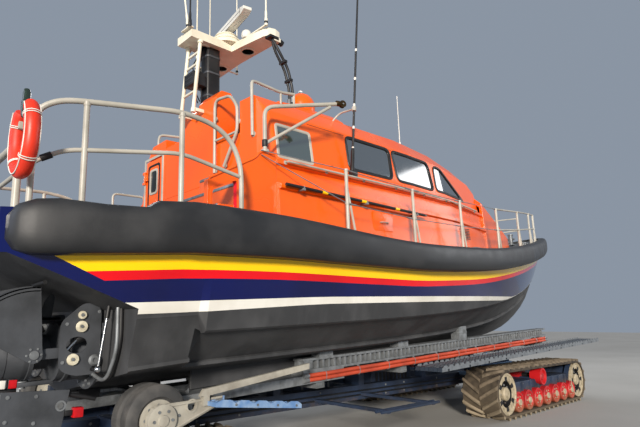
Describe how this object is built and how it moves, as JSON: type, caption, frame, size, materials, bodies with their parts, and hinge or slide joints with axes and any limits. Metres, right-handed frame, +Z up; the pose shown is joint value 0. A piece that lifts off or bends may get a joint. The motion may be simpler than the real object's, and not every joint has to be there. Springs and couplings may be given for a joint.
{
  "type": "waterjet rescue boat on a tracked launching carriage",
  "caption": "All-weather waterjet rescue boat with a tall cabin and rubber fender, standing bow up in the cradle of a tracked launching carriage.",
  "frame": {"origin": "on the ground under the middle of the object's box", "axes": "+X towards the bow, +Y to port, +Z up; the boat and its cradle are pitched 2.5 degrees bow up"},
  "size_m": [13.7788, 4.5492, 7.9306],
  "materials": {
    "hull_paint": "gloss marine paint",
    "bottom_paint": "matt antifouling paint",
    "cabin_paint": "semi-gloss marine paint",
    "fender_rubber": "satin black rubber",
    "rail_metal": "painted tube",
    "cream_paint": "satin paint",
    "black_plastic": "matt",
    "dark_glass": "tinted",
    "deck_paint": "anti-slip paint",
    "buoy_shell": "satin",
    "jet_casting": "painted casting",
    "engine_block": "painted casting",
    "galvanised": "galvanised",
    "chassis_paint": "worn paint",
    "gear_paint": "worn red paint",
    "track_rubber": "muddy",
    "seat_fabric": "dark",
    "tyre_rubber": "ribbed"
  },
  "bodies": {
    "craft": {"hull": "hull_paint", "fender": "fender_rubber", "engine_hatch": "deck_paint", "cabin_lower": "cabin_paint", "cabin_upper": "cabin_paint", "fore_trunk": "cabin_paint", "windscreen": "dark_glass", "cockpit_fairing": "cabin_paint", "mast_pylon": "cabin_paint", "boarding_steps": "cabin_paint", "cabin_seats": "seat_fabric", "cabin_console": "black_plastic", "mast_frame": "cream_paint", "mast_platform": "cream_paint", "mast_aerials": "cream_paint", "side_aerial": "black_plastic", "roof_rail": "rail_metal", "rail_stern": "rail_metal", "lifebuoy": "buoy_shell", "boat_hook": "black_plastic", "handrail_step": "rail_metal", "cradle_frame": "galvanised", "chassis": "chassis_paint", "bilge_keel_starboard": "bottom_paint", "engine_starboard": "engine_block", "glazing_starboard": "dark_glass", "mast_strut_starboard": "black_plastic", "rail_aft_starboard": "rail_metal", "rail_fore_starboard": "rail_metal", "jet_body_starboard": "jet_casting", "track_fore_starboard": "track_rubber", "running_gear_fore_starboard": "gear_paint", "track_aft_starboard": "track_rubber", "running_gear_aft_starboard": "chassis_paint", "walkway_starboard": "galvanised", "handrail_starboard": "rail_metal", "bilge_keel_port": "bottom_paint", "engine_port": "engine_block", "glazing_port": "dark_glass", "mast_strut_port": "black_plastic", "rail_aft_port": "rail_metal", "rail_fore_port": "rail_metal", "jet_body_port": "jet_casting", "track_fore_port": "track_rubber", "running_gear_fore_port": "gear_paint", "track_aft_port": "track_rubber", "running_gear_aft_port": "chassis_paint", "walkway_port": "galvanised", "handrail_port": "rail_metal"},
    "radar": {"radar_scanner": "cream_paint"},
    "door": {"cabin_door": "cabin_paint"},
    "davit_arm": {"davit": "rail_metal"},
    "nozzle_starboard": {"jet_nozzle_starboard": "jet_casting"},
    "bucket_starboard": {"jet_bucket_starboard": "jet_casting"},
    "guide_starboard": {"guide_wheels_starboard": "tyre_rubber"},
    "nozzle_port": {"jet_nozzle_port": "jet_casting"},
    "bucket_port": {"jet_bucket_port": "jet_casting"},
    "guide_port": {"guide_wheels_port": "tyre_rubber"}
  },
  "joints": [
    {"name": "radar_spin", "type": "hinge", "parent": "craft", "child": "radar", "pos_m": [-3.92085, 0, 5.93046], "axis": [-0.0436, 0, 0.999], "continuous": true},
    {"name": "door_swing", "type": "hinge", "parent": "craft", "child": "door", "pos_m": [-4.31114, 1.512, 3.36099], "axis": [0.0436, 0, -0.999], "range_deg": [0, 105]},
    {"name": "davit_swing", "type": "hinge", "parent": "craft", "child": "davit_arm", "pos_m": [-4.4343, -1.67, 3.70595], "axis": [0.0436, 0, -0.999], "range_deg": [0, 100]},
    {"name": "steer_starboard", "type": "hinge", "parent": "craft", "child": "nozzle_starboard", "pos_m": [-6.35206, -0.78, 1.32003], "axis": [-0.0436, 0, 0.999], "range_deg": [-25, 25]},
    {"name": "reverse_starboard", "type": "hinge", "parent": "craft", "child": "bucket_starboard", "pos_m": [-6.37204, -0.78, 1.31915], "axis": [0, -1, 0], "range_deg": [0, 66]},
    {"name": "guide_spin_starboard", "type": "hinge", "parent": "craft", "child": "guide_starboard", "pos_m": [-5.4498, -1.43, 0.76], "axis": [0, 1, 0], "continuous": true},
    {"name": "steer_port", "type": "hinge", "parent": "craft", "child": "nozzle_port", "pos_m": [-6.35206, 0.78, 1.32003], "axis": [-0.0436, 0, 0.999], "range_deg": [-25, 25]},
    {"name": "reverse_port", "type": "hinge", "parent": "craft", "child": "bucket_port", "pos_m": [-6.37204, 0.78, 1.31915], "axis": [0, -1, 0], "range_deg": [0, 66]},
    {"name": "guide_spin_port", "type": "hinge", "parent": "craft", "child": "guide_port", "pos_m": [-5.4498, 1.43, 0.76], "axis": [0, 1, 0], "continuous": true}
  ],
  "couplings": [
    {"joint": "steer_port", "follows": "steer_starboard", "ratio": 1}
  ]
}
